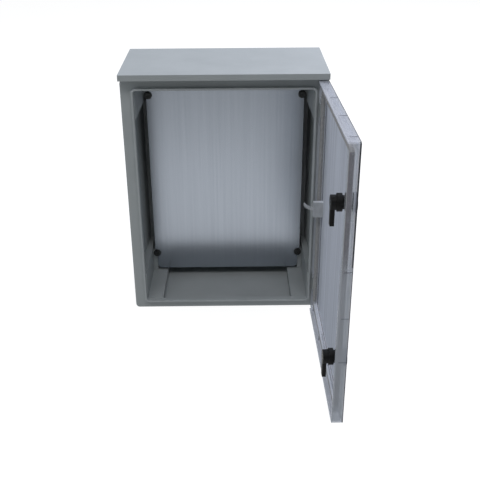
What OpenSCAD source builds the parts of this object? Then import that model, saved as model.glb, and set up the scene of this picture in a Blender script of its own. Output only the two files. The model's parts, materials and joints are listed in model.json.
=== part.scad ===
// Wall enclosure: moulded box, rain hood, mounting plate and a clear hinged door with two locks.
// Millimetres. Origin on the rear face, midway between the four wall fixings.
// +X is right seen from the front, +Y points to the wall, +Z is up.

/* [Enclosure] */
// Width of the box
box_w = 400; // [360:1:480]
// Height of the box
box_h = 500; // [450:1:640]
// Depth from the wall to the front of the flange
box_d = 200; // [160:1:260]
// Thickness of the side, top and bottom walls
wall_t = 4.5; // [3.5:0.5:5]
// Thickness of the rear wall
back_t = 5; // [4:0.5:8]
// Draft of each side wall: how much further in its inner face is at the rear than at the flange
side_draft = 13.5; // [6:0.5:16]
// Radius of the four outer corners
corner_r = 8; // [4:0.5:12]
// Width of the front flange at the sides, from the outer edge in to the opening
flange_w = 25.5; // [22:0.5:26]
// Width of the front flange at the top and bottom
flange_end_w = 20; // [19:0.5:26]
// Thickness of the front flange
flange_t = 4; // [4:0.5:6]
// Radius of the corners of the opening
opening_r = 6; // [4:0.5:9]
// Width of the raised sealing lip round the opening
lip_w = 4; // [3:0.5:5]
// Height of the sealing lip in front of the flange
lip_h = 9; // [4:0.5:9.5]
// Length of each corner post along the top and bottom walls
post_x = 60; // [45:1:75]
// Length of each corner post along the side walls
post_z = 79; // [60:1:90]
// How far the corner posts stand inside the edge of the opening
post_proud = 1; // [0:0.5:2]
// Height of the solid block that holds each wall insert
wall_block_h = 18; // [15:1:26]
// Depth of the solid block that holds each wall insert
wall_block_d = 40; // [26:1:60]
// Distance of the wall fixings from the top and bottom of the box
wall_fix_in = 45; // [38:1:52]

/* [Rain hood] */
// Overhang of the hood in front of the flange
hood_overhang = 22; // [20:0.5:40]
// How much wider the hood is at the wall than at the front
hood_flare = 5.5; // [0:0.5:10]
// Height of the hood's edge above the top of the box
hood_gap = 1.5; // [1.5:0.5:6]
// Height of the hood's front skirt
hood_skirt = 11.5; // [9:0.5:24]
// How much higher the hood is at the wall than at the front
hood_rise = 7.5; // [0:0.5:12]
// Thickness of the hood
hood_t = 4; // [3:0.5:5]
// Distance between the hood fixings across the box
hood_fix_w = 220; // [160:1:240]
// Distance of the front hood fixings behind the flange
hood_fix_front = 60; // [40:1:70]
// Distance of the rear hood fixings from the wall
hood_fix_rear = 50; // [30:1:60]
// Diameter of the bosses under the hood
hood_boss_d = 18; // [14:0.5:24]

/* [Mounting plate] */
// Space between the side edges of the plate and the opening
plate_side_gap = 7; // [6.5:0.5:16]
// Space between the top and bottom of the plate and the opening
plate_end_gap = 5.5; // [3:0.5:12]
// Thickness of the plate
plate_t = 2; // [1.5:0.5:3]
// Distance from the wall to the rear of the plate
plate_stand = 61; // [40:1:90]
// Distance of the plate fixings from the plate's side edges
plate_fix_in_x = 4.5; // [4.5:0.5:6]
// Distance of the plate fixings from the plate's top and bottom edges
plate_fix_in_z = 39; // [24:1:50]
// Width of the notch cut from each corner of the plate
plate_notch = 4.5; // [4:0.5:9]
// Chamfer at the foot of each notch
plate_chamfer = 6; // [3:0.5:12]
// Diameter of each plate pillar round its fixing
plate_boss_d = 16; // [14:0.5:16]

/* [Door] */
// Distance of the door's free edge inside the side of the box
door_free_in = 3; // [0.5:0.5:4]
// Distance of the door's hinge edge inside the side of the box
door_hinge_in = 3.5; // [3.5:0.5:5]
// Distance of the door's lower edge above the foot of the box
door_foot_gap = 0.5; // [0.5:0.5:4]
// Space between the door's top and the hood
door_hood_gap = 2; // [1:0.5:3]
// Space between the flange and the rim of the shut door
door_set = 3.3; // [3:0.1:4]
// Overall depth of the door
door_d = 20; // [19:0.5:24]
// Thickness of the clear panel
panel_t = 4; // [3:0.5:5]
// Thickness of the door's rim
rim_t = 3; // [2.5:0.5:3.5]
// Radius of the door's corners
door_r = 4; // [4:0.5:12]
// Height of the land that carries the gasket
land_h = 2.5; // [2:0.5:4]
// Height of the two guides beside the gasket
guide_h = 4.3; // [2:0.1:5]
// Thickness of the guides beside the gasket
guide_t = 2; // [1.5:0.5:2.5]
// Width of the gasket
gasket_w = 8.5; // [7:0.5:9]
// Space between the gasket and the sealing lip
gasket_clear = 0.3; // [0.3:0.1:1]
// Thickness of the stiffening ribs in the rim
rib_t = 1.6; // [1.2:0.2:2.4]
// Height of the stiffening ribs
rib_h = 11; // [6:0.5:13]
// Distance between the ribs on the upright sides
rib_pitch_z = 83; // [60:1:88]
// Distance between the ribs on the top and bottom
rib_pitch_x = 112; // [80:1:115]
// Angle at which the door stands open
door_open = 90; // [0:0.5:100]

/* [Hinges] */
// Distance of the hinge axis inside the side of the box
hinge_in = 12; // [11.8:0.1:12.5]
// Distance of the hinge axis in front of the flange
hinge_reach = 12.5; // [12:0.1:13]
// Distance of each hinge from the end of the box that it is nearer to
hinge_end = 60; // [55:1:100]
// Diameter of the hinge pins
pin_d = 4; // [3:0.5:4]
// Height of the bracket's arm
arm_h = 25; // [18:1:32]
// Width of the bracket's arm
arm_w = 8; // [7:0.5:8]
// Width of the bracket's base
base_w = 12; // [11:0.5:12]
// Height of the bracket's base
base_h = 46; // [42:1:50]
// Thickness of the bracket's base
base_t = 2.5; // [2:0.5:2.5]
// Height of each door knuckle
knuckle_h = 15; // [10:1:18]
// Mean radius of the hook's curved strip about the hinge axis
hook_r = 28; // [27:0.5:29]
// Thickness of the hook's strip
hook_t = 3; // [2:0.5:3.5]
// Height of the hook's strip
hook_h = 6.5; // [5:0.5:12]
// Height of the hook's base
hook_base_h = 32; // [24:1:44]
// Width of the hook's base
hook_base_w = 10; // [8:0.5:12]
// How far the hook's base stands off the panel
hook_base_d = 20; // [14:0.5:20]
// Height of the hook's base above the middle of the box
hook_z = -3; // [-60:1:60]
// How far the strip lies below the middle of the hook's base
hook_drop = 1; // [0:1:6]

/* [Locks] */
// Distance of the lock axis inside the edge of the opening
lock_in = 20.3; // [20:0.1:28]
// Distance of each lock from the end of the box that it is nearer to
lock_end = 109; // [100:1:150]
// Diameter of the lock barrel
barrel_d = 22; // [19:0.5:22]
// Diameter of the lock's outer flange
escutcheon_d = 32; // [28:0.5:36]
// Thickness of the lock's outer flange
escutcheon_t = 4; // [3.5:0.5:6]
// Width across the corners of the lock nut
lock_nut_d = 30; // [27:0.5:30]
// Thickness of the lock nut
lock_nut_t = 8; // [5:0.5:8.5]
// Diameter of the turning core
core_d = 12; // [11:0.5:14]
// Diameter of the cam's disc
cam_disc_d = 29; // [24:0.5:29]
// Diameter of the cam's boss
cam_boss_d = 24; // [18:0.5:24]
// Length of the cam's boss
cam_boss_l = 9.8; // [8:0.1:10.2]
// Length of the tongue from the lock axis
tongue_l = 38; // [30:0.5:39]
// Width of the tongue
tongue_w = 12; // [9:0.5:16]
// Thickness of the tongue
tongue_t = 7; // [5:0.5:7.5]
// Space between the tongue and the back of the flange
tongue_clear = 0.5; // [0.5:0.1:2]

/* [Fixings] */
// Thread diameter of the wall inserts
wall_thread_d = 8; // [6:0.5:8]
// Diameter of the wall inserts
wall_insert_d = 11; // [10:0.5:12]
// Length of the wall inserts
wall_insert_l = 18; // [12:1:24]
// Thread diameter of the plate and hood screws
screw_d = 6; // [5:0.5:6]
// Head diameter of the plate and hood screws
screw_head_d = 13; // [11:0.5:13]
// Head height of the plate and hood screws
screw_head_h = 4.5; // [3:0.5:6]
// Diameter of the plate and hood washers
washer_d = 17; // [13.5:0.5:17]
// Thickness of the plate and hood washers
washer_t = 1.6; // [1:0.2:2]
// Length of the plate screws under the head
plate_screw_l = 16; // [12:1:20]
// Length of the hood screws under the head
hood_screw_l = 12; // [10:0.5:13]
// Diameter of the plate inserts
plate_insert_d = 9; // [8:0.5:10]
// Length of the plate inserts
plate_insert_l = 14; // [10:1:18]
// Diameter of the hinge screws
hinge_screw_d = 3.5; // [3:0.5:3.5]
// Head diameter of the hinge screws
hinge_screw_head_d = 6.4; // [6:0.2:7]
// Diameter of the cam screw
cam_screw_d = 5; // [4:0.5:5]
// Head diameter of the cam screw
cam_screw_head_d = 9; // [8:0.5:10]

/* [Hidden] */
$fn = 64;
// Allowance by which one solid runs into another it is joined to, or a cutter runs past a face
lap = 1;
// Radial clearance between a screw and its thread
thread_fit = 0.05;
// Radial clearance of a turning fit
run_fit = 0.05;
// Radial clearance of a plain hole
hole_fit = 0.3;
// Space left between moving pieces that pass end on
end_fit = 0.4;

opening_w = box_w - 2 * flange_w;
opening_h = box_h - 2 * flange_end_w;
front_y = -box_d;
flange_back_y = front_y + flange_t;
box_top_z = box_h / 2;

// Corner posts: thickness at the sides and at the ends, and the hollow left inside each from the rear
post_t = flange_w + post_proud;
post_end_t = flange_end_w + post_proud;
hollow_t = post_t - 2 * wall_t;
hollow_end_t = post_end_t - 2 * wall_t;
wall_fix_x = box_w / 2 - wall_t - hollow_t / 2;
// Side walls between the posts: inner face at the flange and at the rear, and half their length
side_front_x = box_w / 2 - wall_t;
side_rear_x = side_front_x - side_draft;
side_half_h = box_h / 2 - post_z;
side_hollow_d = (side_draft - wall_t) * (box_d - back_t - flange_t) / side_draft;
wall_fix_z = box_h / 2 - wall_fix_in;

hood_bottom_z = box_top_z + hood_gap;
hood_front_z = hood_bottom_z + hood_skirt;
hood_front_y = front_y - hood_overhang;
hood_l = box_d + hood_overhang;
hood_fix_ys = [front_y + hood_fix_front, -hood_fix_rear];

plate_w = opening_w - 2 * plate_side_gap;
plate_h = opening_h - 2 * plate_end_gap;
plate_fix_x = plate_w / 2 - plate_fix_in_x;
plate_fix_z = plate_h / 2 - plate_fix_in_z;
plate_front_y = -plate_stand - plate_t;
// Reach of the corner part of each plate pillar past its fixing, and its space to the corner post
pillar_past = 3;
pillar_gap = 0.3;

// Shut door: outer and inner faces of the panel, ends of the rim
panel_front_y = front_y - door_set - door_d;
panel_back_y = panel_front_y + panel_t;
rim_end_y = front_y - door_set;
door_left_x = -box_w / 2 + door_free_in;
door_right_x = box_w / 2 - door_hinge_in;
door_w = door_right_x - door_left_x;
door_mid_x = (door_right_x + door_left_x) / 2;
door_low_z = -box_h / 2 + door_foot_gap;
door_top_z = hood_bottom_z - door_hood_gap;
door_h = door_top_z - door_low_z;
door_mid_z = (door_top_z + door_low_z) / 2;
// Shortening of the rim at the hinge side, so that it swings clear of the flange
hinge_relief = 3;

// Gasket channel, centred on the sealing lip
seal_w = opening_w + lip_w;
seal_h = opening_h + lip_w;
seal_r = opening_r + lip_w / 2;
land_y = panel_back_y + land_h;
gasket_t = front_y - lip_h - gasket_clear - land_y;
channel_out = gasket_w / 2 + guide_t;
channel_x = seal_w / 2 + channel_out;
channel_z = seal_h / 2 + channel_out;
// Least distance of the ribs from the corners of the door, and their number each side of its middle
rib_margin_z = 79;
rib_margin_x = 24;
ribs_z = floor((door_h / 2 - rib_margin_z) / rib_pitch_z + 0.5);
ribs_x = floor((door_w / 2 - rib_margin_x) / rib_pitch_x + 0.5);

hinge_x = box_w / 2 - hinge_in;
hinge_y = front_y - hinge_reach;
hinge_zs = [box_h / 2 - hinge_end, hinge_end - box_h / 2];
// Reach of the door knuckles behind the hinge axis
knuckle_reach = 5.2;
knuckle_back_y = hinge_y + knuckle_reach;
base_screw_z = (base_h + arm_h) / 4;
hinge_screw_sink = (hinge_screw_head_d - hinge_screw_d) / 2;

hook_x = hinge_x - hook_r;
hook_strip_z = hook_z - hook_drop;

lock_x = -(opening_w / 2 - lock_in);
lock_z = box_h / 2 - lock_end;
// Positions along a lock's axis, measured from the outer face of the panel
seal_t = 1.5;
tongue_front = flange_back_y + tongue_clear - panel_front_y;
cam_end = tongue_front + tongue_t;
cam_disc_end = cam_end - cam_boss_l;
barrel_neck = 4.5;
barrel_end = panel_t + lock_nut_t + barrel_neck;
cam_front = barrel_end + end_fit;
escutcheon_front = -seal_t - escutcheon_t;
core_shoulder = 2;
core_head_d = core_d + 2 * core_shoulder;
core_head_t = 2;
core_sink = 0.4;
core_head_back = escutcheon_front + core_sink + core_head_t;
key_recess_d = core_d - 2;
key_recess_l = 6;
key_d = 7;
// Square drive that fits inside the round core
drive_w = core_d / sqrt(2) - lap;
drive_end = cam_disc_end + lap;
cam_screw_head_h = 3.5;
cam_screw_grip = 6;
cam_screw_seat = cam_end - cam_screw_head_h;
cam_screw_l = cam_screw_seat - drive_end + cam_screw_grip;

moulded = [0.60, 0.62, 0.63];
hood_grey = [0.62, 0.64, 0.66];
zinc = [0.66, 0.68, 0.70];
black = [0.05, 0.05, 0.055];
brass = [0.72, 0.58, 0.30];
steel = [0.58, 0.59, 0.60];
clear = [0.80, 0.83, 0.87, 0.35];
foam = [0.36, 0.33, 0.33];
milky = [0.70, 0.72, 0.74, 0.8];

function hood_top(y) = hood_front_z + hood_rise * (y - hood_front_y) / hood_l;

// Rectangle with true round corners, centred on the origin
module rounded_rect(w, h, r) {
    square([w - 2 * r, h], center = true);
    square([w, h - 2 * r], center = true);
    for (sx = [-1, 1], sy = [-1, 1])
        translate([sx * (w / 2 - r), sy * (h / 2 - r)])
            circle(r = r);
}

// Outline drawn in X and Z, made solid from the plane rear_y forward by depth
module slab(rear_y, depth) {
    translate([0, rear_y, 0])
        rotate([90, 0, 0])
            linear_extrude(depth)
                children();
}

// Cylinder that runs from y0 to y1
module rod_y(d, y0, y1) {
    translate([0, y0, 0])
        rotate([-90, 0, 0])
            cylinder(d = d, h = y1 - y0);
}

// Frame that follows the gasket line, between two distances outside it (inside it when negative)
module seal_frame(inside, outside) {
    difference() {
        rounded_rect(seal_w + 2 * outside, seal_h + 2 * outside, seal_r + outside);
        rounded_rect(seal_w + 2 * inside, seal_h + 2 * inside, max(seal_r + inside, 1));
    }
}

// Repeats an outline drawn for the upper right corner in all four corners
module in_each_corner() {
    for (mx = [0, 1], mz = [0, 1])
        mirror([mx, 0])
            mirror([0, mz])
                children();
}

// L-shaped outline of a corner post, or of the hollow in it: kept in from the outer faces by inset,
// side_t thick along the side, end_t thick along the top, and lengthened at both ends by grow
module post_outline(inset, side_t, end_t, grow) {
    translate([box_w / 2 - post_x - grow, box_h / 2 - inset - end_t])
        square([post_x + grow - inset, end_t]);
    translate([box_w / 2 - inset - side_t, box_h / 2 - post_z - grow])
        square([side_t, post_z + grow - inset]);
}

// Drafted part of the right side wall
module side_wall_fill() {
    linear_extrude(2 * (side_half_h + lap), center = true)
        polygon([[side_front_x + lap, flange_back_y], [side_front_x, flange_back_y], [side_rear_x, -back_t],
            [side_rear_x, -back_t + lap], [side_front_x + lap, -back_t + lap]]);
}

// Hollow left in the right side wall from the rear
module side_wall_hollow() {
    linear_extrude(2 * side_half_h, center = true)
        polygon([[side_front_x, lap], [side_rear_x + wall_t, lap], [side_rear_x + wall_t, -back_t],
            [side_front_x, -back_t - side_hollow_d]]);
}

module at_wall_fixings() {
    for (sx = [-1, 1], sz = [-1, 1])
        translate([sx * wall_fix_x, 0, sz * wall_fix_z])
            children();
}

module at_plate_fixings() {
    for (sx = [-1, 1], sz = [-1, 1])
        translate([sx * plate_fix_x, 0, sz * plate_fix_z])
            children();
}

module at_hood_fixings() {
    for (sx = [-1, 1], y = hood_fix_ys)
        translate([sx * hood_fix_w / 2, y, 0])
            children();
}

module at_hinge_screws() {
    for (z = hinge_zs, sz = [-1, 1])
        translate([hinge_x, front_y, z + sz * base_screw_z])
            children();
}

// Places what is drawn for the shut door where the open door stands
module on_door() {
    translate([hinge_x, hinge_y, 0])
        rotate([0, 0, door_open])
            translate([-hinge_x, -hinge_y, 0])
                children();
}

// Places a lock piece, drawn along Y from the panel's outer face, on the door
module on_lock(z) {
    on_door()
        translate([lock_x, panel_front_y, z])
            children();
}

module cavity_outline() {
    difference() {
        square([box_w - 2 * wall_t, box_h - 2 * wall_t], center = true);
        in_each_corner()
            post_outline(0, post_t, post_end_t, 0);
    }
}

module enclosure_body() {
    color(moulded)
    difference() {
        union() {
            difference() {
                slab(0, box_d)
                    rounded_rect(box_w, box_h, corner_r);
                slab(-back_t, box_d - back_t - flange_t)
                    cavity_outline();
                slab(flange_back_y + lap, flange_t + 2 * lap)
                    rounded_rect(opening_w, opening_h, opening_r);
                slab(lap, box_d - flange_t + lap)
                    in_each_corner()
                        post_outline(wall_t, hollow_t, hollow_end_t, -wall_t);
            }
            slab(front_y + lap, lip_h + lap)
                seal_frame(-lip_w / 2, lip_w / 2);
            at_wall_fixings()
                translate([0, -wall_block_d / 2, 0])
                    cube([hollow_t + lap, wall_block_d, wall_block_h], center = true);
            for (mx = [0, 1])
                mirror([mx, 0, 0])
                    side_wall_fill();
        }
        for (mx = [0, 1])
            mirror([mx, 0, 0])
                side_wall_hollow();
        at_wall_fixings()
            rod_y(wall_insert_d, -wall_insert_l, lap);
        at_hood_fixings()
            translate([0, 0, box_top_z - wall_t - lap])
                cylinder(d = screw_d + 2 * hole_fit, h = wall_t + 2 * lap);
        at_hinge_screws()
            rod_y(hinge_screw_d + 2 * thread_fit, -lap, flange_t + lap);
    }
}

module wall_inserts() {
    color(brass)
    at_wall_fixings()
        difference() {
            rod_y(wall_insert_d, -wall_insert_l, 0);
            rod_y(wall_thread_d, -wall_insert_l - lap, lap);
        }
}

// Outside of the hood, or the space inside it when inset by its thickness
module hood_form(inset) {
    low_z = hood_bottom_z - (inset > 0 ? lap : 0);
    y0 = hood_front_y + inset;
    y1 = -inset;
    half_front = box_w / 2 - inset;
    half_back = (box_w + hood_flare) / 2 - inset;
    intersection() {
        rotate([90, 0, 90])
            linear_extrude(box_w + hood_flare + 2 * lap, center = true)
                polygon([[y0, low_z], [y0, hood_top(y0) - inset], [y1, hood_top(y1) - inset], [y1, low_z]]);
        linear_extrude(box_h)
            polygon([[-half_front, y0], [half_front, y0], [half_back, y1], [-half_back, y1]]);
    }
}

module rain_hood() {
    color(hood_grey)
    difference() {
        union() {
            difference() {
                hood_form(0);
                hood_form(hood_t);
            }
            at_hood_boss();
        }
        at_hood_fixings()
            translate([0, 0, box_top_z - lap])
                cylinder(d = screw_d + 2 * thread_fit, h = hood_screw_l - wall_t - washer_t + 2 * lap);
    }
}

module at_hood_boss() {
    for (sx = [-1, 1], y = hood_fix_ys)
        translate([sx * hood_fix_w / 2, y, box_top_z])
            cylinder(d = hood_boss_d, h = hood_top(y) - hood_t - box_top_z + lap);
}

module hood_screws() {
    head_top_z = box_top_z - wall_t - washer_t;
    color(steel)
    at_hood_fixings() {
        translate([0, 0, head_top_z])
            cylinder(d = screw_d, h = hood_screw_l);
        translate([0, 0, head_top_z - screw_head_h])
            difference() {
                cylinder(d = screw_head_d, h = screw_head_h);
                translate([0, 0, -lap])
                    cylinder(d = screw_d, h = screw_head_h / 2 + lap, $fn = 6);
            }
    }
}

module hood_washers() {
    color(steel)
    at_hood_fixings()
        translate([0, 0, box_top_z - wall_t - washer_t])
            difference() {
                cylinder(d = washer_d, h = washer_t);
                translate([0, 0, -lap])
                    cylinder(d = screw_d + 2 * hole_fit, h = washer_t + 2 * lap);
            }
}

// Outline of a plate pillar: round at its fixing and square in the corner, drawn for the upper right corner
module plate_pillar_outline() {
    low_z = plate_fix_z - pillar_past;
    translate([plate_fix_x, plate_fix_z])
        circle(d = plate_boss_d);
    translate([plate_fix_x, low_z])
        square([box_w / 2 - post_t - pillar_gap - plate_fix_x, box_h / 2 - post_end_t - pillar_gap - low_z]);
}

// Four moulded pillars that stand on the rear wall and carry the plate
module plate_pillars() {
    color(moulded)
    difference() {
        slab(-back_t, plate_stand - back_t)
            in_each_corner()
                plate_pillar_outline();
        at_plate_fixings()
            rod_y(plate_insert_d, -plate_stand - lap, -plate_stand + plate_insert_l);
        at_plate_fixings()
            rod_y(screw_d + 2 * hole_fit, -plate_stand, -plate_stand + plate_screw_l + lap);
    }
}

// Corner of the plate that is cut away for a fixing, drawn for the upper right corner
module plate_corner_cut() {
    side_x = plate_w / 2 - plate_notch;
    translate([side_x, plate_fix_z])
        square([plate_notch + lap, plate_fix_in_z + lap]);
    translate([plate_fix_x, plate_fix_z])
        circle(d = screw_d + 2 * hole_fit);
    polygon([[side_x - plate_chamfer, plate_h / 2 + lap], [side_x - plate_chamfer, plate_h / 2],
        [side_x, plate_h / 2 - plate_chamfer], [side_x + lap, plate_h / 2 - plate_chamfer],
        [side_x + lap, plate_h / 2 + lap]]);
}

module mounting_plate() {
    color(zinc)
    slab(-plate_stand, plate_t)
        difference() {
            square([plate_w, plate_h], center = true);
            in_each_corner()
                plate_corner_cut();
        }
}

module plate_screws() {
    head_back_y = plate_front_y - washer_t;
    color(black)
    at_plate_fixings()
        difference() {
            union() {
                rod_y(screw_d, head_back_y - lap, head_back_y + plate_screw_l);
                rod_y(screw_head_d, head_back_y - screw_head_h, head_back_y);
            }
            translate([0, head_back_y - screw_head_h - lap, 0])
                rotate([-90, 0, 0])
                    cylinder(d = screw_d, h = screw_head_h / 2 + lap, $fn = 6);
        }
}

module plate_washers() {
    color(black)
    at_plate_fixings()
        difference() {
            rod_y(washer_d, plate_front_y - washer_t, plate_front_y);
            rod_y(screw_d + 2 * hole_fit, plate_front_y - washer_t - lap, plate_front_y + lap);
        }
}

module plate_inserts() {
    color(brass)
    at_plate_fixings()
        difference() {
            rod_y(plate_insert_d, -plate_stand, -plate_stand + plate_insert_l);
            rod_y(screw_d + 2 * thread_fit, -plate_stand - lap, -plate_stand + plate_insert_l + lap);
        }
}

module hinge_bracket(z) {
    difference() {
        translate([hinge_x, 0, z])
            union() {
                translate([-base_w / 2, front_y - base_t, -base_h / 2])
                    cube([base_w, base_t, base_h]);
                translate([-arm_w / 2, hinge_y, -arm_h / 2])
                    cube([arm_w, hinge_reach - base_t + lap, arm_h]);
                translate([0, hinge_y, -arm_h / 2])
                    cylinder(d = arm_w, h = arm_h);
            }
        translate([hinge_x, hinge_y, z - arm_h / 2 - lap])
            cylinder(d = pin_d, h = arm_h + 2 * lap);
        at_hinge_screws()
            rod_y(hinge_screw_d + 2 * thread_fit, -base_t - lap, lap);
        at_hinge_screws()
            hinge_screw_head();
    }
}

// Countersunk head, flush with the front of the bracket's base
module hinge_screw_head() {
    translate([0, -base_t, 0])
        rotate([-90, 0, 0])
            cylinder(d1 = hinge_screw_head_d, d2 = hinge_screw_d, h = hinge_screw_sink);
}

module upper_hinge_bracket() {
    color(moulded)
    hinge_bracket(hinge_zs[0]);
}

module lower_hinge_bracket() {
    color(moulded)
    hinge_bracket(hinge_zs[1]);
}

module hinge_screws() {
    color(steel)
    at_hinge_screws()
        union() {
            rod_y(hinge_screw_d, -base_t, flange_t);
            hinge_screw_head();
        }
}

module hinge_pin(z) {
    pin_l = arm_h + 2 * knuckle_h;
    translate([hinge_x, hinge_y, z - pin_l / 2])
        cylinder(d = pin_d, h = pin_l);
}

module upper_hinge_pin() {
    color(steel)
    hinge_pin(hinge_zs[0]);
}

module lower_hinge_pin() {
    color(steel)
    hinge_pin(hinge_zs[1]);
}

// Ribs that tie the rim to the gasket land
module door_ribs() {
    for (i = [-ribs_z : ribs_z - 1])
        translate([0, panel_back_y - lap, door_mid_z + (i + 0.5) * rib_pitch_z - rib_t / 2]) {
            translate([door_left_x + rim_t / 2, 0, 0])
                cube([-channel_x - door_left_x - rim_t / 2 + lap, rib_h + lap, rib_t]);
            translate([channel_x - lap, 0, 0])
                cube([door_right_x - rim_t / 2 - channel_x + lap, rib_h + lap, rib_t]);
        }
    for (i = [-ribs_x : ribs_x - 1])
        translate([door_mid_x + (i + 0.5) * rib_pitch_x - rib_t / 2, panel_back_y - lap, 0]) {
            translate([0, 0, door_low_z + rim_t / 2])
                cube([rib_t, rib_h + lap, -channel_z - door_low_z - rim_t / 2 + lap]);
            translate([0, 0, channel_z - lap])
                cube([rib_t, rib_h + lap, door_top_z - rim_t / 2 - channel_z + lap]);
        }
}

// Blocks of the door that turn on one hinge pin, above and below the bracket's arm
module door_knuckles(z) {
    x0 = channel_x - lap;
    for (low_z = [z + arm_h / 2 + end_fit, z - arm_h / 2 - end_fit - knuckle_h])
        translate([x0, panel_back_y - lap, low_z])
            cube([door_right_x - rim_t - x0 + lap / 2, knuckle_back_y - panel_back_y + lap, knuckle_h]);
}

// Space cut from the door for one hinge bracket over its whole swing
module bracket_space(z) {
    arm_space_h = arm_h + 2 * end_fit;
    base_space_h = base_h + 2 * end_fit;
    translate([channel_x, panel_back_y, z - arm_space_h / 2])
        cube([hinge_in + rim_t + lap, door_d, arm_space_h]);
    translate([door_right_x - rim_t, panel_back_y, z - base_space_h / 2])
        cube([rim_t + lap, door_d, base_space_h]);
}

module door() {
    color(clear)
    on_door()
        difference() {
            union() {
                translate([door_mid_x, 0, door_mid_z])
                    difference() {
                        slab(rim_end_y, door_d)
                            rounded_rect(door_w, door_h, door_r);
                        slab(rim_end_y + lap, door_d - panel_t + lap)
                            rounded_rect(door_w - 2 * rim_t, door_h - 2 * rim_t, door_r - rim_t);
                    }
                slab(land_y, land_h + lap)
                    seal_frame(-channel_out, channel_out);
                slab(land_y + guide_h, guide_h + lap) {
                    seal_frame(-channel_out, -gasket_w / 2);
                    seal_frame(gasket_w / 2, channel_out);
                }
                door_ribs();
                door_knuckles(hinge_zs[0]);
                door_knuckles(hinge_zs[1]);
            }
            translate([channel_x, rim_end_y - hinge_relief, door_low_z - lap])
                cube([box_w / 2, door_d, door_h + 2 * lap]);
            bracket_space(hinge_zs[0]);
            bracket_space(hinge_zs[1]);
            for (z = hinge_zs)
                translate([hinge_x, hinge_y, z - base_h])
                    cylinder(d = pin_d + 2 * run_fit, h = 2 * base_h);
            for (z = [-lock_z, lock_z])
                translate([lock_x, 0, z])
                    rod_y(barrel_d + 2 * hole_fit, panel_front_y - lap, panel_back_y + lap);
        }
}

module door_gasket() {
    color(foam)
    on_door()
        slab(land_y + gasket_t, gasket_t)
            seal_frame(-gasket_w / 2, gasket_w / 2);
}

// Hook on the hinge side: its strip swings round the edge of the flange and lies behind it when shut
module hinge_hook() {
    color(milky)
    on_door()
        union() {
            translate([hook_x - hook_base_w / 2 - hook_t / 2, panel_back_y, hook_z - hook_base_h / 2])
                cube([hook_base_w, hook_base_d, hook_base_h]);
            translate([hinge_x, hinge_y, hook_strip_z - hook_h / 2])
                linear_extrude(hook_h)
                    intersection() {
                        difference() {
                            circle(r = hook_r + hook_t / 2);
                            circle(r = hook_r - hook_t / 2);
                        }
                        translate([-2 * hook_r, 0])
                            square(2 * hook_r);
                    }
        }
}

module lock_barrel(z) {
    on_lock(z)
        difference() {
            union() {
                rod_y(escutcheon_d, escutcheon_front, -seal_t);
                rod_y(barrel_d, -seal_t - lap, barrel_end);
            }
            rod_y(core_d + 2 * run_fit, escutcheon_front - lap, barrel_end + lap);
            rod_y(core_head_d + 2 * run_fit, escutcheon_front - lap, core_head_back + end_fit);
        }
}

module lock_seal(z) {
    on_lock(z)
        difference() {
            rod_y(escutcheon_d - 2 * lap, -seal_t, 0);
            rod_y(barrel_d + 2 * run_fit, -seal_t - lap, lap);
        }
}

module lock_nut(z) {
    on_lock(z)
        difference() {
            translate([0, panel_t, 0])
                rotate([-90, 0, 0])
                    cylinder(d = lock_nut_d, h = lock_nut_t, $fn = 6);
            rod_y(barrel_d + 2 * thread_fit, panel_t - lap, panel_t + lock_nut_t + lap);
        }
}

module lock_core(z) {
    core_front = escutcheon_front + core_sink;
    on_lock(z)
        difference() {
            union() {
                rod_y(core_head_d, core_front, core_head_back);
                rod_y(core_d, core_front + lap, barrel_end);
                translate([-drive_w / 2, barrel_end - lap, -drive_w / 2])
                    cube([drive_w, drive_end - barrel_end + lap, drive_w]);
            }
            difference() {
                rod_y(key_recess_d, core_front - lap, core_front + key_recess_l);
                translate([0, core_front, 0])
                    rotate([-90, 0, 0])
                        cylinder(d = key_d, h = key_recess_l + lap, $fn = 3);
            }
            rod_y(cam_screw_d + 2 * thread_fit, cam_screw_seat - cam_screw_l - lap, drive_end + lap);
        }
}

module lock_cam(z) {
    on_lock(z)
        difference() {
            union() {
                rod_y(cam_disc_d, cam_front, cam_disc_end);
                rod_y(cam_boss_d, cam_disc_end - lap, cam_end);
                translate([-tongue_w / 2, tongue_front, -tongue_l])
                    cube([tongue_w, tongue_t, tongue_l]);
            }
            translate([-drive_w / 2 - run_fit, cam_front - lap, -drive_w / 2 - run_fit])
                cube([drive_w + 2 * run_fit, drive_end + run_fit - cam_front + lap, drive_w + 2 * run_fit]);
            rod_y(cam_screw_d + 2 * hole_fit, drive_end, cam_end + lap);
            rod_y(cam_screw_head_d + 2 * hole_fit, cam_screw_seat, cam_end + lap);
        }
}

module cam_screw(z) {
    on_lock(z)
        difference() {
            union() {
                rod_y(cam_screw_d, cam_screw_seat - cam_screw_l, cam_screw_seat + lap);
                rod_y(cam_screw_head_d, cam_screw_seat, cam_end);
            }
            translate([0, cam_screw_seat + cam_screw_head_h / 2, 0])
                rotate([-90, 0, 0])
                    cylinder(d = cam_screw_d, h = cam_screw_head_h, $fn = 6);
        }
}

module upper_lock_barrel() {
    color(black)
    lock_barrel(lock_z);
}

module upper_lock_seal() {
    color(black)
    lock_seal(lock_z);
}

module upper_lock_nut() {
    color(black)
    lock_nut(lock_z);
}

module upper_lock_core() {
    color(steel)
    lock_core(lock_z);
}

module upper_lock_cam() {
    color(black)
    lock_cam(lock_z);
}

module upper_cam_screw() {
    color(black)
    cam_screw(lock_z);
}

module lower_lock_barrel() {
    color(black)
    lock_barrel(-lock_z);
}

module lower_lock_seal() {
    color(black)
    lock_seal(-lock_z);
}

module lower_lock_nut() {
    color(black)
    lock_nut(-lock_z);
}

module lower_lock_core() {
    color(steel)
    lock_core(-lock_z);
}

module lower_lock_cam() {
    color(black)
    lock_cam(-lock_z);
}

module lower_cam_screw() {
    color(black)
    cam_screw(-lock_z);
}

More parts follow.
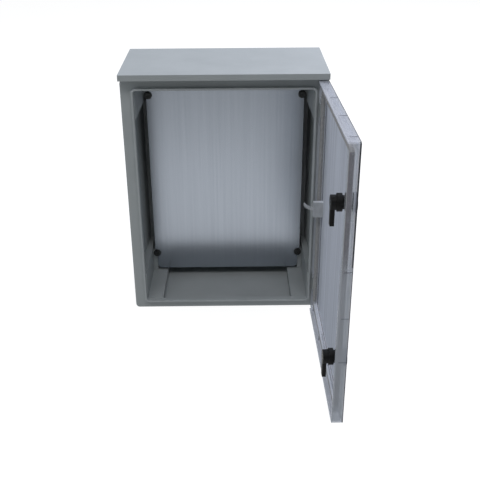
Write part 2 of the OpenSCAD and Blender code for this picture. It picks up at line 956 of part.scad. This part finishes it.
enclosure_body();
wall_inserts();
rain_hood();
hood_screws();
hood_washers();
plate_pillars();
mounting_plate();
plate_screws();
plate_washers();
plate_inserts();
upper_hinge_bracket();
lower_hinge_bracket();
hinge_screws();
upper_hinge_pin();
lower_hinge_pin();
door();
door_gasket();
hinge_hook();
upper_lock_barrel();
upper_lock_seal();
upper_lock_nut();
upper_lock_core();
upper_lock_cam();
upper_cam_screw();
lower_lock_barrel();
lower_lock_seal();
lower_lock_nut();
lower_lock_core();
lower_lock_cam();
lower_cam_screw();
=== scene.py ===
"""Looks of the wall enclosure: rounded mouldings, procedural materials, studio light and camera."""
import json
import math

import bmesh
import bpy
from mathutils import Matrix, Vector


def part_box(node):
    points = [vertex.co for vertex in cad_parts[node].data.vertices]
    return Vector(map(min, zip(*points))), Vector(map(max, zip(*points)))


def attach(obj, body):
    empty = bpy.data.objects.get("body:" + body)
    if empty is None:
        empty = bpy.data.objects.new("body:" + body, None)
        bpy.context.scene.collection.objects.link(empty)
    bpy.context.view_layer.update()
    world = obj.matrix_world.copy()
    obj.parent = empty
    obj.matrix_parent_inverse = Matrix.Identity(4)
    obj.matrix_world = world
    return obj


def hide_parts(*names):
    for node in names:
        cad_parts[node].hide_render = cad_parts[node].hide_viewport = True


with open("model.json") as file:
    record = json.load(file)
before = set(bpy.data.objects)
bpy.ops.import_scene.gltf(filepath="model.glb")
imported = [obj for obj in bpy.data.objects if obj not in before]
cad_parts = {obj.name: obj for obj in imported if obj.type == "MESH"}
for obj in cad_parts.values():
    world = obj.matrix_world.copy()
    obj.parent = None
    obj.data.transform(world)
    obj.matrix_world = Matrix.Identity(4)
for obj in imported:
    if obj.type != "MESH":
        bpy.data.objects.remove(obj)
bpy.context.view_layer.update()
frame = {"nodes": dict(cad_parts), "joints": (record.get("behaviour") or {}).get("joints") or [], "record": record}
MM = 0.001
X, Y, Z = range(3)

# Camera of the photograph, in the row frame
CAMERA_AT = Vector((0.01837, -1.57712, 0.56419))
CAMERA_YAW = math.radians(0.42)
CAMERA_PITCH = math.radians(25.40)
CAMERA_ROLL = math.radians(-0.37)
SENSOR_MM = 36.0
LENS_MM = 54.32

# The floor glows, as a lit table does, and less so towards the viewer
FLOOR_HALF = 14.0
FLOOR_GLOW = 0.92
FLOOR_GLOW_NEAR = 0.45
GLOW_FULL_Y = -0.8
GLOW_NEAR_Y = -2.2

# Soft lights, with places and sizes in metres
LIGHTS = {
    "overhead": dict(place=(1.6, 1.5, 2.6), target=(0.3, 0.3, 0.0), size=(4.0, 3.2), watts=114,
                     colour=(0.92, 0.96, 1.08)),
    "front": dict(place=(-0.1, -2.1, 2.9), target=(0.0, -0.2, 0.0), size=(3.0, 1.2), watts=35,
                  colour=(1.0, 1.0, 1.0)),
    "left": dict(place=(-2.5, -0.10, 1.3), target=(0.19, -0.42, 0.1), size=(1.0, 1.0), watts=18,
                 colour=(0.95, 0.97, 1.06)),
}
WORLD_COLOUR = (0.88, 0.955, 0.97)
WORLD_STRENGTH = 0.26


# Materials

# Slant of the panel to the viewer, from 0 square on to 1 edge on, at which its haze starts and is full
SLANT_CLEAR = 0.35
SLANT_HAZY = 0.80
# Heights at which the free rim, which grows hazy downwards, is clear and is at its haziest
RIM_CLEAR_Z = 0.085
RIM_HAZY_Z = 0.010
# How much rougher clear plastic is between its flow lines
LINE_ROUGHER = 0.1
# Polycarbonate of the door, and of single faces of it, two of which are painted shade: the panel's cut edge and
# lines where ribs show through the rim
CLEAR = {
    "clear_plastic": dict(tint=(0.50, 0.52, 0.565), opacity=0.09, rough=0.10),
    "hazy_panel": dict(tint=(0.70, 0.735, 0.83), opacity=0.85, rough=0.35, low_share=0.70, specular=0.0,
                       face_on=0.14),
    "free_rim": dict(tint=(0.56, 0.58, 0.63), opacity=0.16, rough=0.10, low_share=0.90, foot=0.52),
    "top_rim": dict(tint=(0.56, 0.58, 0.65), opacity=0.42, rough=0.20),
    # painted shade: near black, for the dark look of the clear panel's cut edge
    "panel_edge_painted_shade": dict(tint=(0.040, 0.040, 0.050), opacity=0.97, rough=0.30),
    "low_rim": dict(tint=(0.50, 0.52, 0.57), opacity=0.80, rough=0.20, low_share=0.90),
    # painted shade: dark dashes where the ribs show through the clear rim
    "rib_painted_shade": dict(tint=(0.20, 0.205, 0.24), opacity=0.90, rough=0.30, specular=0.1),
}
# Finishes with a fine grain, two of them for single faces of the gasket: painted shade at the door's free edge and
# painted light along its foot
GRAINED = {
    "zinc_steel": dict(low=(0.50, 0.51, 0.52), high=(0.62, 0.63, 0.64), rough=0.32, grain_scale=500,
                       strength=0.05, metallic=1.0),
    "black_steel": dict(low=(0.020, 0.022, 0.022), high=(0.040, 0.043, 0.042), rough=0.38, grain_scale=500,
                        strength=0.08, metallic=0.3),
    "insert_brass": dict(low=(0.58, 0.42, 0.17), high=(0.70, 0.52, 0.24), rough=0.30, grain_scale=400,
                         strength=0.05, metallic=1.0),
    "lock_black": dict(low=(0.004, 0.004, 0.004), high=(0.008, 0.008, 0.008), rough=0.50, grain_scale=900,
                       strength=0.05, specular=0.15),
    "gasket_foam": dict(low=(0.290, 0.285, 0.285), high=(0.350, 0.342, 0.342), rough=0.85,
                        grain_scale=1200, strength=0.40),
    # painted shade: the gasket's own foam made darker where it lies shaded at the door's free edge
    "gasket_painted_shade": dict(low=(0.120, 0.100, 0.120), high=(0.160, 0.138, 0.160), rough=0.85,
                        grain_scale=1200, strength=0.40),
    # painted light: the gasket's own foam made pale and bluish where the door's foot is lit
    "gasket_painted_light": dict(low=(0.370, 0.385, 0.420), high=(0.420, 0.435, 0.470), rough=0.85,
                        grain_scale=1200, strength=0.40),
    "seal_rubber": dict(low=(0.010, 0.010, 0.010), high=(0.020, 0.020, 0.020), rough=0.60,
                        grain_scale=800, strength=0.15),
}
# A grained finish: size of its mottle in grains, spread of its roughness and depth of its bumps in metres
MOTTLE_GRAINS = 8
ROUGH_SPREAD = 0.07
GRAIN_DEPTH = 0.0003


def new_material(name):
    """A node material, its node tree and its Principled shader."""
    material = bpy.data.materials.new(name)
    material.use_nodes = True
    tree = material.node_tree
    return material, tree, tree.nodes["Principled BSDF"]


def object_coordinates(tree, scale=(1, 1, 1)):
    """Coordinates in metres, fixed to the piece, with each axis scaled."""
    coordinates = tree.nodes.new("ShaderNodeTexCoord")
    mapping = tree.nodes.new("ShaderNodeMapping")
    mapping.inputs["Scale"].default_value = scale
    tree.links.new(coordinates.outputs["Object"], mapping.inputs["Vector"])
    return mapping.outputs["Vector"]


def object_coordinate(tree, axis):
    """The coordinate along one axis, given by its letter."""
    parts = tree.nodes.new("ShaderNodeSeparateXYZ")
    tree.links.new(object_coordinates(tree), parts.inputs["Vector"])
    return parts.outputs[axis]


def noise(tree, vector, scale, detail=4.0, roughness=0.55):
    """A cloudy factor between 0 and 1."""
    texture = tree.nodes.new("ShaderNodeTexNoise")
    texture.inputs["Scale"].default_value = scale
    texture.inputs["Detail"].default_value = detail
    texture.inputs["Roughness"].default_value = roughness
    tree.links.new(vector, texture.inputs["Vector"])
    return texture.outputs["Fac"]


def ramp(tree, factor, low, high, start=0.35, end=0.65):
    """Colours from low to high over a band of the factor."""
    node = tree.nodes.new("ShaderNodeValToRGB")
    node.color_ramp.elements[0].position = start
    node.color_ramp.elements[0].color = (*low, 1)
    node.color_ramp.elements[1].position = end
    node.color_ramp.elements[1].color = (*high, 1)
    tree.links.new(factor, node.inputs["Fac"])
    return node.outputs["Color"]


def span(tree, factor, low, high, start=0.0, end=1.0):
    """A factor between start and end spread over the range from low to high."""
    node = tree.nodes.new("ShaderNodeMapRange")
    node.inputs["From Min"].default_value = start
    node.inputs["From Max"].default_value = end
    node.inputs["To Min"].default_value = low
    node.inputs["To Max"].default_value = high
    tree.links.new(factor, node.inputs["Value"])
    return node.outputs["Result"]


def bump(tree, shader, height, strength, distance):
    """Fine relief on a shader, from a factor that is its height."""
    node = tree.nodes.new("ShaderNodeBump")
    node.inputs["Strength"].default_value = strength
    node.inputs["Distance"].default_value = distance
    tree.links.new(height, node.inputs["Height"])
    tree.links.new(node.outputs["Normal"], shader.inputs["Normal"])


def moulded_grey():
    """Grey glass-reinforced polyester: faint flow marks and a fine grain."""
    material, tree, shader = new_material("moulded_grey")
    vector = object_coordinates(tree)
    flow = noise(tree, vector, scale=14, detail=6)
    grain = noise(tree, vector, scale=700, detail=2)
    colour = ramp(tree, flow, low=(0.372, 0.394, 0.406), high=(0.402, 0.424, 0.437))
    tree.links.new(colour, shader.inputs["Base Color"])
    tree.links.new(span(tree, grain, low=0.42, high=0.58), shader.inputs["Roughness"])
    bump(tree, shader, grain, strength=0.12, distance=0.0004)
    return material


def galvanised_sheet():
    """Satin zinc sheet with faint upright rolling streaks."""
    material, tree, shader = new_material("galvanised_sheet")
    streaks = noise(tree, object_coordinates(tree, scale=(220, 220, 2.5)), scale=1, detail=3)
    colour = ramp(tree, streaks, low=(0.338, 0.371, 0.418), high=(0.382, 0.416, 0.468), start=0.2, end=0.8)
    tree.links.new(colour, shader.inputs["Base Color"])
    shader.inputs["Roughness"].default_value = 0.26
    shader.inputs["Metallic"].default_value = 0.82
    return material


def milky_plastic():
    """Translucent moulded plastic."""
    material, tree, shader = new_material("milky_plastic")
    cloud = noise(tree, object_coordinates(tree), scale=90)
    colour = ramp(tree, cloud, low=(0.50, 0.515, 0.545), high=(0.58, 0.595, 0.625))
    tree.links.new(colour, shader.inputs["Base Color"])
    tree.links.new(span(tree, cloud, low=0.25, high=0.4), shader.inputs["Roughness"])
    shader.inputs["Transmission Weight"].default_value = 0.3
    shader.inputs["IOR"].default_value = 1.3
    return material


def clear_plastic(name, tint, opacity, rough, low_share=0.86, specular=0.2, face_on=None, foot=None):
    """Polycarbonate with fine upright flow lines; opacity is the share of light that a face holds back.

    With face_on, that is the opacity of a face seen square on, and opacity is for one seen along it.
    With foot, that is the opacity low down, and opacity is for the part higher up.
    """
    material, tree, shader = new_material(name)
    lines = noise(tree, object_coordinates(tree, scale=(60, 110, 1.5)), scale=1, roughness=0.7)
    darkest = tuple(low_share * channel for channel in tint)
    colour = ramp(tree, lines, low=darkest, high=tint, start=0.3, end=0.7)
    tree.links.new(colour, shader.inputs["Base Color"])
    tree.links.new(span(tree, lines, low=rough, high=rough + LINE_ROUGHER), shader.inputs["Roughness"])
    shader.inputs["Alpha"].default_value = opacity
    shader.inputs["Specular IOR Level"].default_value = specular
    if face_on is not None:
        slant = tree.nodes.new("ShaderNodeLayerWeight").outputs["Facing"]
        held_back = span(tree, slant, low=face_on, high=opacity, start=SLANT_CLEAR, end=SLANT_HAZY)
        tree.links.new(held_back, shader.inputs["Alpha"])
    if foot is not None:
        height = object_coordinate(tree, "Z")
        held_back = span(tree, height, low=foot, high=opacity, start=RIM_HAZY_Z, end=RIM_CLEAR_Z)
        tree.links.new(held_back, shader.inputs["Alpha"])
    return material


def grained(name, low, high, rough, grain_scale, strength, metallic=0.0, specular=0.5):
    """A fine-grained finish between two colours: plastic, foam, rubber or plated metal."""
    material, tree, shader = new_material(name)
    vector = object_coordinates(tree)
    mottle = noise(tree, vector, scale=grain_scale / MOTTLE_GRAINS)
    grain = noise(tree, vector, scale=grain_scale, detail=2)
    tree.links.new(ramp(tree, mottle, low, high), shader.inputs["Base Color"])
    roughness = span(tree, grain, low=rough - ROUGH_SPREAD, high=rough + ROUGH_SPREAD)
    tree.links.new(roughness, shader.inputs["Roughness"])
    shader.inputs["Metallic"].default_value = metallic
    shader.inputs["Specular IOR Level"].default_value = specular
    bump(tree, shader, grain, strength, GRAIN_DEPTH)
    return material


def make_materials():
    """Every finish by its name: those of the record's slots, and those of single faces."""
    materials = {
        "moulded_grey": moulded_grey(),
        "galvanised_sheet": galvanised_sheet(),
        "milky_plastic": milky_plastic(),
    }
    for name, finish in CLEAR.items():
        materials[name] = clear_plastic(name, **finish)
    for name, finish in GRAINED.items():
        materials[name] = grained(name, **finish)
    return materials


# Pieces

# Rounding of the edges of each kind of piece, in millimetres
EDGE_MM = {
    "enclosure_body": 1.2, "rain_hood": 0.9, "mounting_plate": 0.35, "door": 0.7, "door_gasket": 1.0,
    "hinge_hook": 0.6, "hinge_bracket": 0.5, "lock_barrel": 0.8, "lock_cam": 0.9, "lock_nut": 0.6,
    "screws": 0.5, "washers": 0.25, "cam_screw": 0.4, "plate_pillars": 0.5,
}
# Wider rounding over part of a node's box: axis, lowest and highest share of the box, millimetres
SOFT_EDGES = {"enclosure_body": (Y, 0.0, 0.05, 1.8), "rain_hood": (Z, 0.6, 1.0, 3.0)}
# The same for the other nodes: past the end of the box, where there is no edge
NO_SOFT_EDGES = (X, 2.0, 2.0, 0.0)
# Rounding of a small hole or boss, as a share of its size
HOLE_SHARE = 0.05
# Edges that turn more than this are rounded
SHARP = math.radians(32)
ROUNDING_STEPS = 3
# Points nearer than this, in metres, become one point, and faces that turn less than this one plane
SAME_POINT = 1e-6
SAME_PLANE = math.radians(0.4)
# Decimals of a metre to which rounding widths and rib places are told apart
WIDTH_DIGITS = 6
RIB_DIGITS = 4

# Finishes of single faces, in the order of the piece's materials; the first is the piece's own
FACE_FINISHES = {
    "door": ["clear_plastic", "hazy_panel", "free_rim", "top_rim", "panel_edge_painted_shade", "low_rim", "rib_painted_shade"],
    "door_gasket": ["gasket_foam", "gasket_painted_shade", "gasket_painted_light"],
}
# Depth from the outside of the door's rim that counts as its outer face, and the rim's thickness
RIM_SKIN = 1.0 * MM
RIM_THICK = 3.2 * MM
# Height over which the foot of the door is hazy, past its gasket
LOW_RIM = 20.0 * MM
# Share of the door's depth, from its outer face, that holds the panel
PANEL_SHARE = 1 / 3
# Width of the painted shade on the panel's cut edge: broad high up at the free side, narrow elsewhere
FREE_EDGE = 2.6 * MM
SIDE_EDGE = 1.4 * MM
# Share of the door's height above which that edge is broad
BROAD_SHARE = 0.60
# Ribs inside the rim: how far they reach in from it, their thickness, the width of the painted shade line that
# stands for each where it shows through the top rim, and their end from the outer face
RIB_REACH = 12.0 * MM
RIB_THICK = 1.6 * MM
RIB_SHADE_WIDTH = 5.0 * MM
RIB_END = 14.0 * MM
# Least share of a face's normal along an axis for a face of a rib or of the panel to lie square to it
RIB_SQUARE = 0.99
PANEL_SQUARE = 0.9
# Height of the gasket's lowest run
GASKET_FOOT = 25.0 * MM


def edge_width(node):
    """Rounding for a node, from the longest kind of piece its name ends with; None leaves it as it is."""
    kinds = [kind for kind in EDGE_MM if node.endswith(kind)]
    return EDGE_MM[max(kinds, key=len)] * MM if kinds else None


def joined_edges(edges):
    """Groups of edges that are joined end to end."""
    left = set(edges)
    while left:
        group = []
        reach = [left.pop()]
        while reach:
            edge = reach.pop()
            group.append(edge)
            near = {other for vert in edge.verts for other in vert.link_edges} & left
            left -= near
            reach += near
        yield group


def edge_widths(node, edges, width):
    """Edges of a node by the rounding that they get: narrow round small holes, wider where they are soft."""
    low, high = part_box(node)
    axis, start, end, soft = SOFT_EDGES.get(node, NO_SOFT_EDGES)
    start, end = (low[axis] + share * (high[axis] - low[axis]) for share in (start, end))
    groups = {}
    for group in joined_edges(edges):
        points = [vert.co for edge in group for vert in edge.verts]
        size = max(max(p[i] for p in points) - min(p[i] for p in points) for i in (X, Y, Z))
        for edge in group:
            middle = (edge.verts[0].co[axis] + edge.verts[1].co[axis]) / 2
            wanted = soft * MM if start <= middle <= end else width
            rounding = round(min(wanted, HOLE_SHARE * size), WIDTH_DIGITS)
            groups.setdefault(rounding, []).append(edge)
    return groups


def rounded_copy(node, width):
    """A mesh piece with the node's shape and its sharp edges rounded."""
    mesh = frame["nodes"][node].data.copy()
    work = bmesh.new()
    work.from_mesh(mesh)
    bmesh.ops.remove_doubles(work, verts=work.verts, dist=SAME_POINT)
    bmesh.ops.dissolve_limit(work, angle_limit=SAME_PLANE, verts=work.verts, edges=work.edges)
    sharp = [e for e in work.edges if len(e.link_faces) == 2 and e.calc_face_angle() > SHARP]
    for offset, edges in sorted(edge_widths(node, sharp, width).items()):
        bmesh.ops.bevel(work, geom=[e for e in edges if e.is_valid], offset=offset, offset_type="OFFSET",
                        segments=ROUNDING_STEPS, profile=0.5, affect="EDGES", clamp_overlap=True)
    for face in work.faces:
        face.smooth = True
    work.to_mesh(mesh)
    work.free()
    mesh.set_sharp_from_angle(angle=SHARP)
    piece = bpy.data.objects.new(node + "_skin", mesh)
    bpy.context.scene.collection.objects.link(piece)
    piece.modifiers.new("even_shading", "WEIGHTED_NORMAL").keep_sharp = True
    return piece


def dress_nodes(materials):
    """Every CAD node gets its materials, and those with visible edges a rounded piece in their place."""
    bodies = frame["record"]["behaviour"]["bodies"]
    body_of = {node: body for body, nodes in bodies.items() for node in nodes}
    for subpart in frame["record"]["subparts"]:
        node = subpart["node"]
        slot = subpart["material_slot"]
        piece = frame["nodes"][node]
        width = edge_width(node)
        if width:
            piece = rounded_copy(node, width)
            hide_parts(node)
            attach(piece, body_of[node])
        piece.data.materials.clear()
        for finish in FACE_FINISHES.get(node, [slot]):
            piece.data.materials.append(materials[finish])
        if node == "door":
            finish_door(piece.data)
            piece.visible_shadow = False
        if node == "door_gasket":
            finish_gasket(piece.data)


def shutting_turn():
    """The turn that carries the door from where it rests to where it is shut."""
    hinge = next(joint for joint in frame["joints"] if joint["name"] == "door_hinge")
    place = Vector(hinge["pos_m"])
    turn = Matrix.Rotation(math.radians(hinge["range_deg"][0]), 4, Vector(hinge["axis"]))
    return Matrix.Translation(place) @ turn @ Matrix.Translation(-place)


def shut_box(mesh, shut):
    """Lowest and highest corner of a mesh of the door when it is shut."""
    points = [shut @ vertex.co for vertex in mesh.vertices]
    return [Vector([pick(point[axis] for point in points) for axis in (X, Y, Z)]) for pick in (min, max)]


def rib_places(mesh, shut, low, high):
    """Where the ribs in the door's top rim and in the hazy part of its free rim end, when it is shut."""
    ribs_x = set()
    ribs_z = set()
    for face in mesh.polygons:
        outward = shut.to_3x3() @ face.normal
        middle = shut @ face.center
        gap_x = min(middle.x - low.x, high.x - middle.x)
        gap_z = min(middle.z - low.z, high.z - middle.z)
        in_top = high.z - middle.z < RIB_REACH and gap_x > 2 * RIB_REACH
        in_free = middle.x - low.x < RIB_REACH and gap_z > 2 * RIB_REACH
        if outward.x > RIB_SQUARE and in_top:
            ribs_x.add(round(middle.x, RIB_DIGITS))
        if outward.z > RIB_SQUARE and in_free and middle.z < RIM_CLEAR_Z:
            ribs_z.add(round(middle.z, RIB_DIGITS))
    return sorted(ribs_x), sorted(ribs_z)


def cut_faces(mesh, shut, cuts):
    """Cuts the door's faces along planes of the shut door, each an axis and the place on it."""
    rest = shut.inverted()
    work = bmesh.new()
    work.from_mesh(mesh)
    for axis, place in cuts:
        across = Vector([float(axis == other) for other in (X, Y, Z)])
        bmesh.ops.bisect_plane(work, geom=work.verts[:] + work.edges[:] + work.faces[:], dist=SAME_POINT,
                               plane_co=rest @ (place * across), plane_no=rest.to_3x3() @ across)
    work.to_mesh(mesh)
    work.free()


def finish_door(mesh):
    """Gives the panel and the sides of the rim their own finishes, and paints shade on the panel's cut edge and in
    lines where the ribs show through the rim.

    Places are those of the shut door: its outer face is at the low end of Y, its free edge at that of X.
    """
    shut = shutting_turn()
    low, high = shut_box(mesh, shut)
    panel_end = low.y + PANEL_SHARE * (high.y - low.y)
    broad_z = low.z + BROAD_SHARE * (high.z - low.z)
    ribs_x, ribs_z = rib_places(mesh, shut, low, high)
    cuts = [(Y, low.y + FREE_EDGE), (Y, low.y + SIDE_EDGE), (Z, broad_z), (Y, low.y + RIB_END)]
    cuts += [(X, x - shift) for x in ribs_x for shift in (0, RIB_SHADE_WIDTH)]
    cuts += [(Z, z - shift) for z in ribs_z for shift in (0, RIB_THICK)]
    cut_faces(mesh, shut, cuts)
    for face in mesh.polygons:
        outward = shut.to_3x3() @ face.normal
        middle = shut @ face.center
        depth = middle.y - low.y
        from_free = middle.x - low.x
        from_top = high.z - middle.z
        from_foot = middle.z - low.z
        from_edge = min(from_free, high.x - middle.x, from_foot, from_top)
        free = from_free < RIM_THICK
        shade_width = FREE_EDGE if free and middle.z > broad_z else SIDE_EDGE
        top_rib = from_top < RIM_SKIN and any(0 < x - middle.x < RIB_SHADE_WIDTH for x in ribs_x)
        free_rib = from_free < RIM_SKIN and any(0 < z - middle.z < RIB_THICK for z in ribs_z)
        if abs(outward.y) > PANEL_SQUARE and middle.y < panel_end:
            finish = "hazy_panel"
        # painted shade along the panel's cut edge
        elif from_edge < RIM_SKIN and depth < shade_width:
            finish = "panel_edge_painted_shade"
        # painted shade lines where the ribs show through the top rim and the free rim
        elif (top_rib or free_rib) and depth < RIB_END:
            finish = "rib_painted_shade"
        elif free:
            finish = "free_rim"
        elif from_top < RIM_THICK:
            finish = "top_rim"
        elif from_edge < RIM_THICK or from_foot < LOW_RIM:
            finish = "low_rim"
        else:
            finish = "clear_plastic"
        face.material_index = FACE_FINISHES["door"].index(finish)


def finish_gasket(mesh):
    """Painted shade darkens the gasket at the free edge of the door, where it shows through the rim, and painted
    light makes it pale along the foot.
    """
    shut = shutting_turn()
    low = shut_box(mesh, shut)[0]
    for face in mesh.polygons:
        middle = shut @ face.center
        # painted light on the lowest run, painted shade at the free edge
        if middle.z - low.z < GASKET_FOOT:
            finish = "gasket_painted_light"
        elif middle.x - low.x < RIM_SKIN:
            finish = "gasket_painted_shade"
        else:
            finish = "gasket_foam"
        face.material_index = FACE_FINISHES["door_gasket"].index(finish)


# Studio

def add_floor():
    """A pale glowing floor under the box; matt faces take no light from it."""
    floor_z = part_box("enclosure_body")[0].z
    signs = ((-1, -1), (1, -1), (1, 1), (-1, 1))
    mesh = bpy.data.meshes.new("floor")
    mesh.from_pydata([(x * FLOOR_HALF, y * FLOOR_HALF, floor_z) for x, y in signs], [], [(0, 1, 2, 3)])
    floor = bpy.data.objects.new("floor", mesh)
    bpy.context.scene.collection.objects.link(floor)
    material, tree, shader = new_material("floor")
    tone = noise(tree, object_coordinates(tree), scale=3)
    colour = ramp(tree, tone, low=(0.15, 0.15, 0.15), high=(0.16, 0.16, 0.16))
    tree.links.new(colour, shader.inputs["Base Color"])
    shader.inputs["Roughness"].default_value = 1.0
    shader.inputs["Emission Color"].default_value = (1, 1, 1, 1)
    along = object_coordinate(tree, "Y")
    glow = span(tree, along, low=FLOOR_GLOW_NEAR, high=FLOOR_GLOW, start=GLOW_NEAR_Y, end=GLOW_FULL_Y)
    tree.links.new(glow, shader.inputs["Emission Strength"])
    mesh.materials.append(material)
    floor.visible_diffuse = False


def add_area_light(name, place, target, size, watts, colour):
    """A rectangular light that faces its target."""
    lamp = bpy.data.lights.new(name, "AREA")
    lamp.shape = "RECTANGLE"
    lamp.size, lamp.size_y = size
    lamp.energy = watts
    lamp.color = colour
    light = bpy.data.objects.new(name, lamp)
    light.location = place
    light.rotation_euler = (Vector(target) - Vector(place)).to_track_quat("-Z", "Y").to_euler()
    bpy.context.scene.collection.objects.link(light)


def build_studio():
    """The floor, the soft lights and a pale surrounding."""
    add_floor()
    for name, light in LIGHTS.items():
        add_area_light(name, **light)
    world = bpy.data.worlds.new("studio")
    world.use_nodes = True
    background = world.node_tree.nodes["Background"]
    background.inputs["Color"].default_value = (*WORLD_COLOUR, 1)
    background.inputs["Strength"].default_value = WORLD_STRENGTH
    bpy.context.scene.world = world
    bpy.context.scene.view_settings.view_transform = "Standard"


def add_camera():
    """The camera of the photograph, turned by its yaw, pitch and roll."""
    forward = Vector((math.sin(CAMERA_YAW) * math.cos(CAMERA_PITCH),
                      math.cos(CAMERA_YAW) * math.cos(CAMERA_PITCH), -math.sin(CAMERA_PITCH)))
    right = Vector((math.cos(CAMERA_YAW), -math.sin(CAMERA_YAW), 0))
    up = right.cross(forward)
    rolled_right = right * math.cos(CAMERA_ROLL) + up * math.sin(CAMERA_ROLL)
    rolled_up = up * math.cos(CAMERA_ROLL) - right * math.sin(CAMERA_ROLL)
    data = bpy.data.cameras.new("camera")
    data.sensor_width = SENSOR_MM
    data.lens = LENS_MM
    camera = bpy.data.objects.new("camera", data)
    turn = Matrix((rolled_right, rolled_up, -forward)).transposed().to_4x4()
    camera.matrix_world = Matrix.Translation(CAMERA_AT) @ turn
    bpy.context.scene.collection.objects.link(camera)
    bpy.context.scene.camera = camera


dress_nodes(make_materials())
build_studio()
add_camera()
